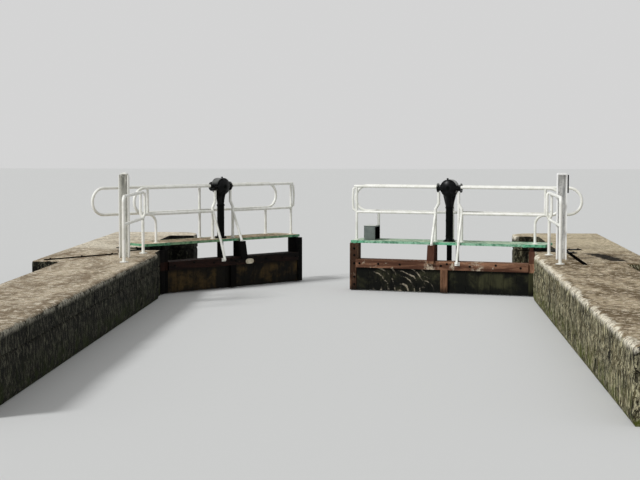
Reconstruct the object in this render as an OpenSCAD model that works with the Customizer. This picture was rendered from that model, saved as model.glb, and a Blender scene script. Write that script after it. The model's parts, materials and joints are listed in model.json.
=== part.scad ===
// Pair of mitre lock gates with hand-worked paddle gear, set in their masonry walls.
// Millimetres. X runs across the lock, +Y upstream, +Z up from the water level.
// A leaf is drawn in its own frame: x from the pivot to the mitre, y upstream, z up.

/* [Lock walls] */
// Clear width of the chamber between the wall faces
chamber_w = 5200; // [4600:50:6000]
// Height of the coping above the water
coping_top = 650; // [560:10:700]
// Thickness of the coping stones
coping_t = 220; // [150:10:300]
// Radius of the worn front edge of the coping
coping_worn_r = 45; // [20:5:80]
// Radius of the coping's corner at the gate, in plan
corner_r = 180; // [80:10:220]
// Length of one coping slab along the chamber
slab_len = 1500; // [1200:50:1800]
// Number of coping slabs along each chamber wall
slab_n = 6; // [4:1:7]
// Thickness of the chamber wall
wall_t = 1050; // [800:50:1300]
// Thickness of the head wall behind the gate
head_t = 1450; // [1250:50:1700]
// Open joint between coping stones
stone_joint = 8; // [4:1:15]

/* [Gate recess] */
// Depth of the recess that takes the open leaf
recess_d = 400; // [370:10:520]
// Length of the masonry nose upstream of the recess
nose_len = 850; // [600:50:1200]
// Radius of the rounded nose
nose_r = 420; // [200:20:550]
// Step back of the quoin behind the wall face
rebate_d = 60; // [30:5:90]
// Room left between the open leaf and the nose
leaf_end_room = 90; // [60:10:200]

/* [Leaf] */
// Distance of the pivot behind the wall face
pivot_in = 160; // [150:5:180]
// Distance of the pivot upstream of the quoin edge
pivot_up = 550; // [450:10:650]
// Angle of the closed leaf from square across the lock
mitre_angle = 15.5; // [12:0.5:20]
// Angle of the left leaf as it stands
left_angle = 47.5; // [30:0.5:80]
// Angle of the right leaf as it stands
right_angle = 17; // [17:0.5:80]
// Gap left at the mitre line by each leaf when closed
mitre_gap = 4; // [3:1:10]
// Thickness of the leaf's timber frame
leaf_t = 220; // [180:10:230]
// Height of the leaf's foot above the water level plane
foot_gap = 12; // [8:1:30]
// Radius of the round heel post
heel_r = 140; // [125:5:142]
// Running gap between heel post and hollow quoin
heel_gap = 10; // [8:1:14]
// Radius of the iron journal on the heel post
journal_r = 45; // [35:1:55]

/* [Timbers] */
// Reach of the heel post's square part from the pivot
heel_reach = 150; // [145:5:220]
// Width of the mitre post along the leaf
mitre_w = 130; // [100:10:180]
// Radius of the left mitre post's rounded head
left_head_r = 90; // [20:5:100]
// Radius of the right mitre post's rounded head
right_head_r = 20; // [10:5:100]
// Height of the top rail
top_rail_h = 118; // [90:2:150]
// Height of the top rail's upper face above the water
top_rail_z = 462; // [420:2:500]
// How far the top rail stands proud of the frame
rail_proud = 25; // [10:5:40]
// Thickness of the planking
plank_t = 50; // [30:5:70]
// Width of one plank
plank_w = 190; // [140:10:240]
// Groove between planks
plank_gap = 4; // [3:1:10]
// Width of the wooden upright under the deck
upright_w = 105; // [80:5:130]
// Thickness of the iron upright under the deck
iron_w = 32; // [24:1:40]

/* [Deck] */
// Height of the walking surface above the water
deck_top = 735; // [725:5:800]
// Downstream edge of the deck, from the leaf's centre line
deck_front = 45; // [40:5:60]
// Upstream edge of the deck, from the leaf's centre line
deck_back = 482; // [460:2:520]
// Reach of the left deck behind the pivot
landing_left = 200; // [120:10:235]
// Reach of the right deck behind the pivot
landing_right = 70; // [60:5:235]
// Depth of the deck's edge angles
edge_h = 36; // [30:1:40]
// Thickness of the steel angle
angle_t = 6; // [4:1:8]
// Pitch of the grating bars
grate_pitch = 68; // [55:1:100]
// Pitch of the grating's cross bars
cross_pitch = 150; // [120:10:300]
// Thickness of a grating bar
grate_t = 6; // [4:1:8]
// Depth of a grating bar
grate_h = 26; // [20:1:28]
// Length of the cover plate at the deck's free end
end_plate = 200; // [150:10:260]
// Reach of the cover plate to each side of the pivot
heel_plate = 240; // [200:10:280]

/* [Handrails] */
// Outer diameter of the rail tube
tube_d = 42; // [34:1:44]
// Height of the top rail's centre above the deck
rail_top = 795; // [760:5:900]
// Height of the middle rail's centre above the deck
rail_mid = 415; // [390:5:450]
// Place of the front rail, upstream of the leaf's centre line
front_y = 110; // [90:2:120]
// Place of the back rail, upstream of the leaf's centre line
back_rail_y = 445; // [420:5:455]
// Reach of the left back rail behind the pivot
back_land_left = 785; // [600:5:800]
// Reach of the right back rail behind the pivot
back_land_right = 515; // [400:5:800]
// Reach of the left back rail beyond the mitre end
back_free_left = -55; // [-100:5:80]
// Reach of the right back rail beyond the mitre end
back_free_right = 85; // [-100:5:90]
// Place of the left back rail's full post
back_post_left = 1210; // [1150:10:1600]
// Place of the right back rail's full post
back_post_right = 1410; // [1150:10:1600]
// Distance of the back rail's low post from the mitre end
back_low_in = 300; // [250:10:400]
// Reach of the front rail behind the pivot
front_land = 300; // [250:5:350]
// Reach behind the pivot of the front rail's spacer
spacer_in = 35; // [20:5:60]
// Place of the front rail's land foot
foot_x = 110; // [100:5:200]
// Radius of the tube bends
bend_small = 70; // [60:5:80]
// Radius of the bend down to the land foot
foot_bend = 140; // [100:5:160]
// Half of the opening in the front rail at the gear
gap_half = 150; // [148:1:160]
// Swell of the front rail's opening below the gear
gap_swell = 48; // [20:5:60]
// Height above the deck where the swell starts
swell_hi = 560; // [540:5:600]
// Height above the deck where the swell ends
swell_lo = 475; // [465:5:500]
// Distance of the front rail's free post from the mitre end
free_post_in = 65; // [65:5:140]
// Reach of the prop's head below the free leg
prop_head = 98; // [90:2:110]
// Bulge of the grab handle beyond the free post
handle_out = 64; // [40:2:64]
// Radius of a rail foot's flange
flange_r = 37; // [32:1:42]
// Thickness of a rail foot's flange
flange_h = 8; // [6:1:12]

/* [Paddle gear] */
// Distance of the gear from the pivot
gear_x = 1385; // [1250:5:1450]
// Distance of the gear upstream of the leaf's centre line
gear_y = 158; // [158:1:175]
// Height of the gear's shaft above the deck
gear_shaft_z = 785; // [740:5:820]
// Radius of the round gear case
gear_case_r = 124; // [116:2:128]
// Width of the gear case
gear_case_w = 146; // [120:2:150]
// Depth of the domed cover
dome_h = 42; // [24:1:46]
// Width of the case's split flange
split_w = 362; // [352:2:376]
// Thickness of the case's split flange
split_t = 18; // [12:1:24]
// Radius of the bearing bosses
boss_r = 46; // [38:1:52]
// Radius of the bearing end plates
boss_plate_r = 68; // [58:1:72]
// Height of the flared neck under the case
neck_h = 150; // [120:5:170]
// Outer radius of the gear column
column_r = 54; // [50:1:60]
// Radius of the column's base flange
column_base_r = 88; // [80:1:95]
// Half the width of the column's seat plate
seat_half = 120; // [110:5:130]
// Radius of the paddle rod
rod_r = 38; // [30:1:42]
// Rise of the paddle rod
rod_lift = 280; // [150:10:290]
// Radius of the winding shaft
shaft_r = 16; // [12:1:22]
// Half the length of the winding shaft
shaft_half = 198; // [190:1:205]

/* [Plate and box] */
// Distance of the oval plate from the pivot
plate_x = 1705; // [1500:5:2200]
// Length of the oval plate
plate_len = 112; // [90:2:140]
// Height of the oval plate
plate_h = 76; // [60:2:90]
// Distance of the control box from the mitre end
box_in = 358; // [340:2:420]
// Width of the control box along the leaf
box_w = 170; // [140:5:200]
// Depth of the control box across the deck
box_d = 240; // [180:5:280]
// Height of the control box
box_h = 212; // [160:2:240]

/* [Bank fittings] */
// Height of the guard rail above the coping
guard_h = 870; // [750:10:1000]
// Height of the guard rail's middle tube above the coping
guard_mid = 487; // [400:1:520]
// Radius of the guard rail's base discs
guard_foot_r = 58; // [50:1:70]
// Distance between the guard rail's posts
guard_len = 1450; // [1200:10:1600]
// Distance of the guard rail behind the wall face
guard_in = 200; // [150:10:260]
// Distance of the guard rail's far post from the quoin edge
guard_back = 200; // [180:10:300]
// Spacing of the doubled tube at the far post
double_gap = 62; // [50:2:80]
// Height of the tall steel post above the coping
tall_h = 1140; // [1000:10:1300]
// Width of the tall post across its web
tall_w = 130; // [110:5:150]
// Depth of the tall post's flanges
tall_d = 110; // [80:5:130]
// Thickness of the tall post's steel
tall_t = 10; // [7:1:14]
// Distance of the left tall post behind the wall face
tall_in_left = 330; // [300:5:420]
// Distance of the right tall post behind the wall face
tall_in_right = 292; // [292:4:420]
// Distance of the tall post downstream of the quoin edge
tall_back = 900; // [700:10:1100]
// Length of a collar anchor bar
anchor_len = 620; // [500:10:700]
// Width of a collar anchor bar
anchor_w = 70; // [50:5:80]
// Thickness of a collar anchor bar
anchor_t = 12; // [8:1:16]
// Height of the collar
collar_h = 38; // [30:1:40]
// Radius of the collar
collar_r = 83; // [75:1:90]
// Directions of the two anchor bars
anchor_angles = [160, 225];

/* [Hidden] */
$fn = 48;

// Walls
face_x = chamber_w / 2;
down_len = slab_n * slab_len;
pivot_x = face_x + pivot_in;
leaf_len = (pivot_x - mitre_gap) / cos(mitre_angle);
recess_end = pivot_up + leaf_len + leaf_end_room;
up_len = recess_end + nose_len;
head_start = -slab_len;
gate_y = (down_len - up_len) / 2;
masonry_top = coping_top - coping_t;
hollow_r = heel_r + heel_gap;
wall_corner_r = rebate_d / 2;

// Leaf
half_t = leaf_t / 2;
rail_face = half_t + rail_proud;
top_rail_under = top_rail_z - top_rail_h;
bearer_t = 6;
deck_under = deck_top - edge_h;
post_top = deck_under - bearer_t;
heel_top = coping_top - foot_gap;
riser_in = journal_r + 50;
deck_end = (pivot_x - mitre_gap - deck_front * sin(mitre_angle)) / cos(mitre_angle) - 12;
tube_r = tube_d / 2;
thin_r = tube_r - 2;
handle_r = tube_r - 5;
bead = 1.2;
top_z = deck_top + rail_top;
mid_z = deck_top + rail_mid;
loop_r = (rail_top - rail_mid) / 2;

// Front rail's legs at the gear
land_x = gear_x - gap_half;
free_x = gear_x + gap_half;
leg_low = 30;
leg_foot_z = top_rail_z - leg_low;
leg_knee = deck_front + tube_r + 4;
leg_side = rail_face + tube_r + 3;
leg_out = leg_side + (leg_side - leg_knee) * leg_low / (deck_top - top_rail_z);
rail_end = split_w / 2 + 0.5;

// Gear
gear_z = deck_top + gear_shaft_z;
column_top = gear_z - gear_case_r - neck_h;
column_h = column_top - deck_top;
drop_top = gear_z - boss_plate_r + 4;
bore_h = neck_h + gear_case_r - shaft_r - rod_r / 4;
boss_plate_t = 16;
rib = 7;
rod_gap = 0.3;
shaft_gap = 0.3;
rod_top = gear_z - shaft_r - rod_r / 2 - rod_lift;

steel = "gainsboro";
timber = "saddlebrown";
stone = "tan";
black = "dimgray";
green = "mediumseagreen";

// Straight round bar between two points
module bar(a, b, r) {
    d = b - a;
    l = norm(d);
    translate(a) rotate([0, acos(d[2] / l), atan2(d[1], d[0])]) cylinder(h = l, r = r);
}

// Round bar through a list of points, with a weld bead at each knee
module rod_run(points, r) {
    for (i = [0:len(points) - 2]) bar(points[i], points[i + 1], r);
    for (i = [1:len(points) - 2]) translate(points[i]) sphere(r = r + bead);
}

// Elbow in the upright plane of a rail: centre, radius of the bend, tube radius, first angle, sweep
module elbow(c, bend, r, from, sweep) {
    translate(c) rotate([90, 0, 0]) rotate([0, 0, from])
        rotate_extrude(angle = sweep) translate([bend, 0]) circle(r = r);
}

module block(a, b) {
    translate(a) cube(b - a);
}

module rail_foot(x, y) {
    translate([x, y, deck_top]) cylinder(h = flange_h, r = flange_r);
}

// One side of the lock: 0 for the left, 1 for the right
module side(right) {
    mirror([right, 0, 0]) translate([-face_x, gate_y, 0]) children();
}

// The frame of a leaf standing at an angle
module leaf(right, angle) {
    mirror([right, 0, 0]) translate([-pivot_x, gate_y + pivot_up, 0]) rotate([0, 0, angle]) children();
}

module left_leaf() { leaf(0, left_angle) children(); }
module right_leaf() { leaf(1, right_angle) children(); }

// Walls, drawn for the left side with the wall face at x = 0
module chamber_wall() {
    color(stone) block([-wall_t, -down_len, 0], [0, head_start, masonry_top]);
}

// Plan of the head wall, with the corner at the gate rounded
module head_plan(corner) {
    difference() {
        union() {
            translate([-head_t, head_start]) square([head_t, -head_start]);
            translate([-head_t, 0]) square([head_t - rebate_d, pivot_up]);
            translate([-head_t, pivot_up]) square([head_t - recess_d, recess_end - pivot_up]);
            translate([-head_t, recess_end]) square([head_t, nose_len - nose_r]);
            translate([-head_t, recess_end]) square([head_t - nose_r, nose_len]);
            translate([-nose_r, up_len - nose_r]) circle(r = nose_r);
        }
        translate([-pivot_in, pivot_up]) circle(r = hollow_r);
        difference() {
            translate([-corner, -corner]) square(corner + 1);
            translate([-corner, -corner]) circle(r = corner);
            translate([-corner - rebate_d, -corner - 1]) square([corner, corner + 2]);
        }
    }
}

module head_wall() {
    color(stone) linear_extrude(masonry_top) head_plan(wall_corner_r);
}

// Section of the stone taken off a worn edge at the origin
module worn_section() {
    difference() {
        translate([-coping_worn_r, -coping_worn_r]) square(coping_worn_r + 1);
        translate([-coping_worn_r, -coping_worn_r]) circle(r = coping_worn_r);
    }
}

module worn_edge(length) {
    rotate([90, 0, 0]) linear_extrude(length) worn_section();
}

module chamber_coping() {
    color(stone) for (i = [0:slab_n - 2])
        translate([0, -down_len + (i + 1) * slab_len - stone_joint, 0]) difference() {
            block([-wall_t, -slab_len + stone_joint, masonry_top], [0, 0, coping_top]);
            translate([0, 1, coping_top]) worn_edge(slab_len + 2);
        }
}

module head_coping() {
    color(stone) difference() {
        translate([0, 0, masonry_top]) linear_extrude(coping_t) head_plan(corner_r);
        translate([0, -corner_r, coping_top]) worn_edge(slab_len);
        translate([-corner_r, -corner_r, coping_top]) rotate_extrude(angle = acos(1 - rebate_d / corner_r))
            translate([corner_r, 0]) worn_section();
    }
}

// Rail with a rounded near end and a doubled tube at its far post
module guard_rail() {
    x = -guard_in;
    far = -guard_back;
    near = far - guard_len;
    top = coping_top + guard_h - tube_r;
    mid = coping_top + guard_mid;
    half_gap = double_gap / 2;
    color(steel) {
        bar([x, near, coping_top], [x, near, top - bend_small], tube_r);
        bar([x, far, coping_top], [x, far, mid], tube_r);
        for (y = [near, far]) translate([x, y, coping_top]) cylinder(h = flange_h, r = guard_foot_r);
        translate([x, near + bend_small, top - bend_small]) rotate([90, 0, 90]) rotate([0, 0, 90])
            rotate_extrude(angle = 90) translate([bend_small, 0]) circle(r = tube_r);
        bar([x, near + bend_small, top], [x, far, top], tube_r);
        bar([x, near, mid], [x, far, mid], thin_r);
        translate([x, far, mid]) sphere(r = tube_r + 2 * bead);
        for (side_x = [x - half_gap, x + half_gap])
            rod_run([[x, far, mid], [side_x, far, mid + double_gap], [side_x, far, top - half_gap]],
                thin_r);
        elbow([x, far, top - half_gap], half_gap, thin_r, 0, 180);
    }
}

// Channel section post, open downstream, with a rounded head
module tall_post(inset, head_r) {
    color(steel) translate([-inset, -tall_back, coping_top]) intersection() {
        difference() {
            block([-tall_w / 2, -tall_d / 2, 0], [tall_w / 2, tall_d / 2, tall_h]);
            block([-tall_w / 2 + tall_t, -tall_d / 2 - 1, -1],
                [tall_w / 2 - tall_t, tall_d / 2 - tall_t, tall_h - 2 * tall_t]);
        }
        rotate([90, 0, 0]) translate([0, 0, -tall_d]) linear_extrude(2 * tall_d) {
            translate([-tall_w / 2, 0]) square([tall_w, tall_h - head_r]);
            translate([-tall_w / 2 + head_r, 0]) square([tall_w - 2 * head_r, tall_h]);
            for (s = [-1, 1]) translate([s * (tall_w / 2 - head_r), tall_h - head_r]) circle(r = head_r);
        }
    }
}

// Upright strap on the outer side of a tall post
module tall_strap(inset) {
    color(black) translate([-inset - tall_w / 2, -tall_back, coping_top + tall_h])
        block([-2 * tall_t, -tall_d / 2, -tall_w * 2], [0, tall_d / 4, -tall_w / 6]);
}

// Iron collar round the journal, held by two bars let into the coping
module collar() {
    color(black) translate([-pivot_in, pivot_up, coping_top]) {
        difference() {
            union() {
                cylinder(h = collar_h, r = collar_r);
                for (a = anchor_angles) rotate([0, 0, a])
                    block([0, -anchor_w / 2, 0], [anchor_len, anchor_w / 2, anchor_t]);
            }
            translate([0, 0, -1]) cylinder(h = collar_h + 2, r = journal_r + 1);
        }
    }
}

// Leaf timbers
module heel_post() {
    color(timber) {
        translate([0, 0, foot_gap]) cylinder(h = heel_top - foot_gap, r = heel_r);
        block([heel_r / 2, -half_t, foot_gap], [heel_reach, half_t, heel_top]);
        block([riser_in, -half_t / 2, heel_top - 1], [heel_reach, half_t / 2, post_top]);
    }
    color(black) translate([0, 0, heel_top]) {
        cylinder(h = deck_under - heel_top, r = journal_r);
        cylinder(h = deck_top - angle_t - heel_top, r = deck_front - angle_t - 3);
    }
}

module mitre_plan(w) {
    s = half_t * tan(mitre_angle);
    near = leaf_len - w;
    polygon([[near, -half_t], [leaf_len - s, -half_t], [leaf_len + s, half_t], [near, half_t]]);
}

// Mitre post, its outer top corner rounded off
module mitre_post(head_r) {
    s = half_t * tan(mitre_angle);
    color(timber) intersection() {
        translate([0, 0, foot_gap]) linear_extrude(post_top - foot_gap) mitre_plan(mitre_w);
        rotate([90, 0, 0]) translate([0, 0, -leaf_t]) linear_extrude(2 * leaf_t) {
            translate([leaf_len - mitre_w - 1, 0]) square([mitre_w + s + 2, post_top - head_r]);
            translate([leaf_len - mitre_w - 1, 0]) square([mitre_w + s + 1 - head_r, post_top]);
            translate([leaf_len + s - head_r, post_top - head_r]) circle(r = head_r);
        }
    }
}

module top_rail() {
    color(timber) block([heel_reach, -rail_face, top_rail_under], [leaf_len - mitre_w, half_t, top_rail_z]);
}

module planking() {
    run = leaf_len - mitre_w - heel_reach;
    n = round(run / plank_w);
    pitch = run / n;
    y = -half_t + 10;
    color(timber) for (i = [0:n - 1])
        block([heel_reach + i * pitch, y, foot_gap],
            [heel_reach + (i + 1) * pitch - plank_gap, y + plank_t, top_rail_under]);
}

// Iron upright, propped wooden upright and the post below the top rail
module uprights() {
    x = free_x + gap_swell - upright_w / 2;
    color(black) block([land_x - iron_w, -iron_w, top_rail_z], [land_x, iron_w, post_top]);
    color(timber) {
        translate([x + upright_w, 0, 0]) rotate([90, 0, -90]) linear_extrude(upright_w)
            polygon([[-40, top_rail_z], [-40, post_top], [prop_head + tube_r + 6, post_top],
                [rail_face + 40, leg_foot_z], [rail_face, leg_foot_z], [rail_face, top_rail_z]]);
        block([gear_x - upright_w / 2, -rail_face, foot_gap],
            [gear_x + upright_w / 2, -half_t + 10, top_rail_under]);
    }
}

module deck_frame(landing) {
    z = deck_under;
    color(green) {
        block([-landing, -deck_front, z], [deck_end, -deck_front + angle_t, deck_top]);
        block([-landing, deck_back - angle_t, z], [deck_end, deck_back, deck_top]);
        for (x = [-landing, gear_x - seat_half, gear_x + seat_half - angle_t, deck_end - angle_t])
            block([x, -deck_front, z], [x + angle_t, deck_back, deck_top]);
        for (x = [heel_reach + 60, land_x - iron_w - 5, free_x + gap_swell - 20, leaf_len - mitre_w + 30])
            block([x, -deck_front, z - bearer_t], [x + 40, deck_back, z]);
        block([deck_end - end_plate, -deck_front, deck_top - angle_t], [deck_end, deck_back, deck_top]);
        block([-landing, -deck_front, deck_top - angle_t], [heel_plate, deck_back, deck_top]);
        difference() {
            block([gear_x - seat_half, -deck_front, deck_top - angle_t],
                [gear_x + seat_half, deck_back, deck_top]);
            translate([gear_x, gear_y, deck_top - angle_t - 1]) cylinder(h = angle_t + 2, r = rod_r + 6);
        }
    }
}

module deck_grating() {
    x0 = heel_plate;
    x1 = deck_end - angle_t;
    y0 = -deck_front + angle_t;
    y1 = deck_back - angle_t;
    n = round((y1 - y0) / grate_pitch);
    m = round((x1 - x0) / cross_pitch);
    z = deck_top - grate_h;
    dy = (y1 - y0) / n;
    dx = (x1 - x0) / m;
    color(green) difference() {
        union() {
            for (i = [1:n - 1]) block([x0, y0 + i * dy, z], [x1, y0 + i * dy + grate_t, deck_top]);
            for (i = [1:m - 1]) block([x0 + i * dx, y0, z], [x0 + i * dx + grate_t, y1, deck_top]);
        }
        block([gear_x - seat_half, y0 - 1, z - 1], [gear_x + seat_half, y1 + 1, deck_top + 1]);
        block([deck_end - end_plate, y0 - 1, z - 1], [deck_end + 1, y1 + 1, deck_top + 1]);
    }
}

// Two level tubes joined by round ends
module back_rail(land_end, post_x, free_end) {
    y = back_rail_y;
    x0 = -land_end + tube_r + loop_r;
    x1 = leaf_len + free_end - tube_r - loop_r;
    low_x = leaf_len - back_low_in;
    color(steel) {
        for (z = [top_z, mid_z]) bar([x0, y, z], [x1, y, z], tube_r);
        elbow([x0, y, top_z - loop_r], loop_r, tube_r, 90, 180);
        elbow([x1, y, top_z - loop_r], loop_r, tube_r, -90, 180);
        bar([post_x, y, deck_top], [post_x, y, top_z], tube_r - 1);
        bar([low_x, y, deck_top], [low_x, y, mid_z], tube_r - 1);
        rail_foot(post_x, y);
        rail_foot(low_x, y);
    }
}

// Drop of the front rail beside the gear, swelled below; way is -1 on the land side, else 1
module gear_drop(x, way) {
    out = x + way * gap_swell;
    y = front_y;
    rod_run([[x, y, drop_top], [x, y, deck_top + swell_hi], [out, y, deck_top + swell_lo],
        [out, y, deck_top]], tube_r);
    translate([out, y, mid_z]) sphere(r = tube_r + 3 * bead);
    rail_foot(out, y);
}

// Part of the front rail on the land side of the gear
module front_rail_land(inner_leg) {
    y = front_y;
    x0 = tube_r + loop_r - front_land;
    out = land_x - gap_swell;
    color(steel) {
        bar([x0, y, top_z], [gear_x - rail_end, y, top_z], tube_r);
        bar([x0, y, mid_z], [out, y, mid_z], tube_r);
        elbow([x0, y, top_z - loop_r], loop_r, tube_r, 90, 180);
        bar([-spacer_in, y, mid_z], [-spacer_in, y, top_z], thin_r);
        elbow([foot_x - foot_bend, y, mid_z - foot_bend], foot_bend, thin_r, 0, 90);
        bar([foot_x, y, deck_top], [foot_x, y, mid_z - foot_bend], thin_r);
        rail_foot(foot_x, y);
        gear_drop(land_x, -1);
        rod_run([[out, y, mid_z], [out, -leg_knee, deck_top], [out, -leg_out, leg_foot_z]], thin_r);
        block([out - flange_r, -rail_face - flange_h, leg_foot_z - tube_r],
            [out + flange_r, -rail_face, top_rail_z]);
        if (inner_leg) {
            bar([land_x, y, deck_top], [land_x, y, deck_top + swell_hi], thin_r);
            rail_foot(land_x, y);
        }
    }
}

// Part of the front rail on the free side of the gear, with the grab handle at its end
module front_rail_free() {
    y = front_y;
    out = free_x + gap_swell;
    post_x = leaf_len - free_post_in;
    handle_x = post_x + handle_out;
    head = post_top + flange_h;
    knee_x = handle_x - tube_r / 2;
    color(steel) {
        bar([gear_x + rail_end, y, top_z], [post_x + flange_r, y, top_z], tube_r);
        bar([out, y, mid_z], [post_x, y, mid_z], thin_r - 1);
        gear_drop(free_x, 1);
        bar([out, y, mid_z], [out, -prop_head, head], thin_r);
        translate([out, -prop_head, post_top]) cylinder(h = flange_h, r = tube_r + 4);
        bar([post_x, y, deck_top], [post_x, y, top_z], thin_r);
        rod_run([[post_x, y, top_z], [knee_x, y, top_z - 2 * tube_r], [handle_x, y, top_z - loop_r],
            [knee_x, y, mid_z + 2 * tube_r], [post_x, y, mid_z]], handle_r);
        rail_foot(post_x, y);
    }
}

// Paddle gear
module gear_column() {
    color(black) translate([gear_x, gear_y, deck_top]) difference() {
        union() {
            cylinder(h = column_h, r = column_r);
            cylinder(h = 2 * flange_h, r = column_base_r);
            cylinder(h = 6 * flange_h, r1 = column_r + 2 * rib, r2 = column_r);
            translate([0, 0, column_h - 3 * flange_h]) cylinder(h = 3 * flange_h, r = column_r + rib);
            for (a = [45:90:315]) rotate([0, 0, a]) translate([column_base_r - 15, 0, 0])
                cylinder(h = 3 * flange_h, r = 9);
        }
        translate([0, 0, -1]) cylinder(h = column_h + 2, r = rod_r + rod_gap);
    }
}

// Round case with a domed cover, split flange, bearing bosses and a ribbed neck
module gear_case() {
    face = -gear_case_w / 2;
    dome_r = (gear_case_r * gear_case_r + dome_h * dome_h) / (2 * dome_h);
    neck_foot = -gear_case_r - neck_h;
    color(black) translate([gear_x, gear_y, gear_z]) difference() {
        union() {
            rotate([-90, 0, 0]) translate([0, 0, face]) cylinder(h = gear_case_w, r = gear_case_r);
            intersection() {
                translate([0, face - dome_h + dome_r, 0]) sphere(r = dome_r);
                rotate([-90, 0, 0]) translate([0, 0, face - dome_h])
                    cylinder(h = dome_h + 5, r = gear_case_r - 10);
            }
            rotate([-90, 0, 0]) translate([0, 0, face - 6]) cylinder(h = 20, r = gear_case_r - 4);
            block([-split_w / 2, face - 8, -split_t / 2], [split_w / 2, -face + 8, split_t / 2]);
            rotate([0, 90, 0]) translate([0, 0, -split_w / 2]) cylinder(h = split_w, r = boss_r);
            for (s = [-1, 1]) {
                rotate([0, s * 90, 0]) translate([0, 0, split_w / 2 - boss_plate_t])
                    cylinder(h = boss_plate_t, r = boss_plate_r);
                for (y = [face + 8, -face - 8])
                    translate([s * (gear_case_r + 24), y, -split_t]) cylinder(h = 2 * split_t, r = 10);
            }
            translate([0, 0, neck_foot]) cylinder(h = neck_h, r1 = column_r - 2, r2 = column_r + 12);
            translate([0, 0, -gear_case_r - 20])
                cylinder(h = 60, r1 = column_r + 10, r2 = gear_case_r - 14);
            for (a = [0, 90]) rotate([90, 0, a]) translate([0, 0, -rib]) linear_extrude(2 * rib)
                polygon([[-column_r, neck_foot], [column_r, neck_foot],
                    [gear_case_r - 22, 40 - gear_case_r], [22 - gear_case_r, 40 - gear_case_r]]);
        }
        rotate([0, 90, 0]) translate([0, 0, -split_w]) cylinder(h = 2 * split_w, r = shaft_r + shaft_gap);
        translate([0, 0, neck_foot - 1]) cylinder(h = bore_h + 1, r = rod_r + rod_gap);
    }
}

module paddle_rod() {
    color(black) translate([gear_x, gear_y, foot_gap]) cylinder(h = rod_top - foot_gap, r = rod_r);
}

module winding_shaft() {
    color(black) translate([gear_x, gear_y, gear_z]) rotate([0, 90, 0]) translate([0, 0, -shaft_half])
        cylinder(h = 2 * shaft_half, r = shaft_r);
}

module plate() {
    r = plate_h / 2;
    d = plate_len / 2 - r;
    z = (top_rail_z + top_rail_under) / 2;
    color(steel) translate([plate_x, -rail_face, z]) rotate([90, 0, 0]) linear_extrude(plate_h / 18) {
        for (s = [-1, 1]) translate([s * d, 0]) circle(r = r);
        translate([-d, -r]) square([2 * d, plate_h]);
    }
}

module control_box() {
    x = leaf_len - box_in;
    y = deck_back / 6;
    color("slategray") {
        block([x, y, deck_top], [x + box_w, y + box_d, deck_top + box_h - 6]);
        block([x - 3, y - 6, deck_top + box_h - 6], [x + box_w + 3, y + box_d + 3, deck_top + box_h]);
    }
}

side(0) chamber_wall();  // left_chamber_wall
side(0) head_wall();  // left_head_wall
side(0) chamber_coping();  // left_chamber_coping
side(0) head_coping();  // left_head_coping
side(0) guard_rail();  // left_guard_rail
side(0) tall_post(tall_in_left, tall_w / 2 - 2);  // left_tall_post
side(0) collar();  // left_collar
side(1) chamber_wall();  // right_chamber_wall
side(1) head_wall();  // right_head_wall
side(1) chamber_coping();  // right_chamber_coping
side(1) head_coping();  // right_head_coping
side(1) guard_rail();  // right_guard_rail
side(1) {  // right_tall_post
    tall_post(tall_in_right, tall_w / 6);
    tall_strap(tall_in_right);
}
side(1) collar();  // right_collar
left_leaf() heel_post();  // left_heel_post
left_leaf() mitre_post(left_head_r);  // left_mitre_post
left_leaf() top_rail();  // left_top_rail
left_leaf() planking();  // left_planking
left_leaf() uprights();  // left_uprights
left_leaf() deck_frame(landing_left);  // left_deck_frame
left_leaf() deck_grating();  // left_deck_grating
left_leaf() front_rail_land(false);  // left_front_rail_land
left_leaf() front_rail_free();  // left_front_rail_free
left_leaf()  // left_back_rail
    back_rail(back_land_left, back_post_left, back_free_left);
left_leaf() gear_column();  // left_gear_column
left_leaf() gear_case();  // left_gear_case
left_leaf() plate();  // left_plate
left_leaf() paddle_rod();  // left_paddle_rod
left_leaf() winding_shaft();  // left_winding_shaft
right_leaf() heel_post();  // right_heel_post
right_leaf() mitre_post(right_head_r);  // right_mitre_post
right_leaf() top_rail();  // right_top_rail
right_leaf() planking();  // right_planking
right_leaf() uprights();  // right_uprights
right_leaf() deck_frame(landing_right);  // right_deck_frame
right_leaf() deck_grating();  // right_deck_grating
right_leaf() front_rail_land(true);  // right_front_rail_land
right_leaf() front_rail_free();  // right_front_rail_free
right_leaf()  // right_back_rail
    back_rail(back_land_right, back_post_right, back_free_right);
right_leaf() gear_column();  // right_gear_column
right_leaf() gear_case();  // right_gear_case
right_leaf() control_box();  // right_control_box
right_leaf() paddle_rod();  // right_paddle_rod
right_leaf() winding_shaft();  // right_winding_shaft
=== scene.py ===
import bpy
import bmesh
import json
import math
from mathutils import Matrix, Vector, noise


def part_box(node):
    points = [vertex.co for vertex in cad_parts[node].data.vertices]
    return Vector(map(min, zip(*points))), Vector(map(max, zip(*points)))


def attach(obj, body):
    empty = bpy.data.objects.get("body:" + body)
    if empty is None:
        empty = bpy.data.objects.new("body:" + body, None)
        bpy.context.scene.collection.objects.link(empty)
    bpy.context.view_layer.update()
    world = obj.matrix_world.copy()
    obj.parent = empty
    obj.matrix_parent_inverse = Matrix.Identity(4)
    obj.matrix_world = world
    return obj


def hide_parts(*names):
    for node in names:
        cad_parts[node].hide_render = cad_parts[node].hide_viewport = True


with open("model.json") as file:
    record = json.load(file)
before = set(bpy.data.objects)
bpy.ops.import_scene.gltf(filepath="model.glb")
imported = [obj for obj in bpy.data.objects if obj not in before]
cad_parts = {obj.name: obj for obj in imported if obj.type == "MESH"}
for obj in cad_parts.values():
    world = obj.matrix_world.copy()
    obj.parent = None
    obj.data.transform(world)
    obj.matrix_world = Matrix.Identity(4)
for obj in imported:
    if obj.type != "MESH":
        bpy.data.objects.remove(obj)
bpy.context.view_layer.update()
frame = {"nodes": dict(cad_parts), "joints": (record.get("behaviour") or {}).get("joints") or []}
nodes = frame["nodes"]
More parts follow.
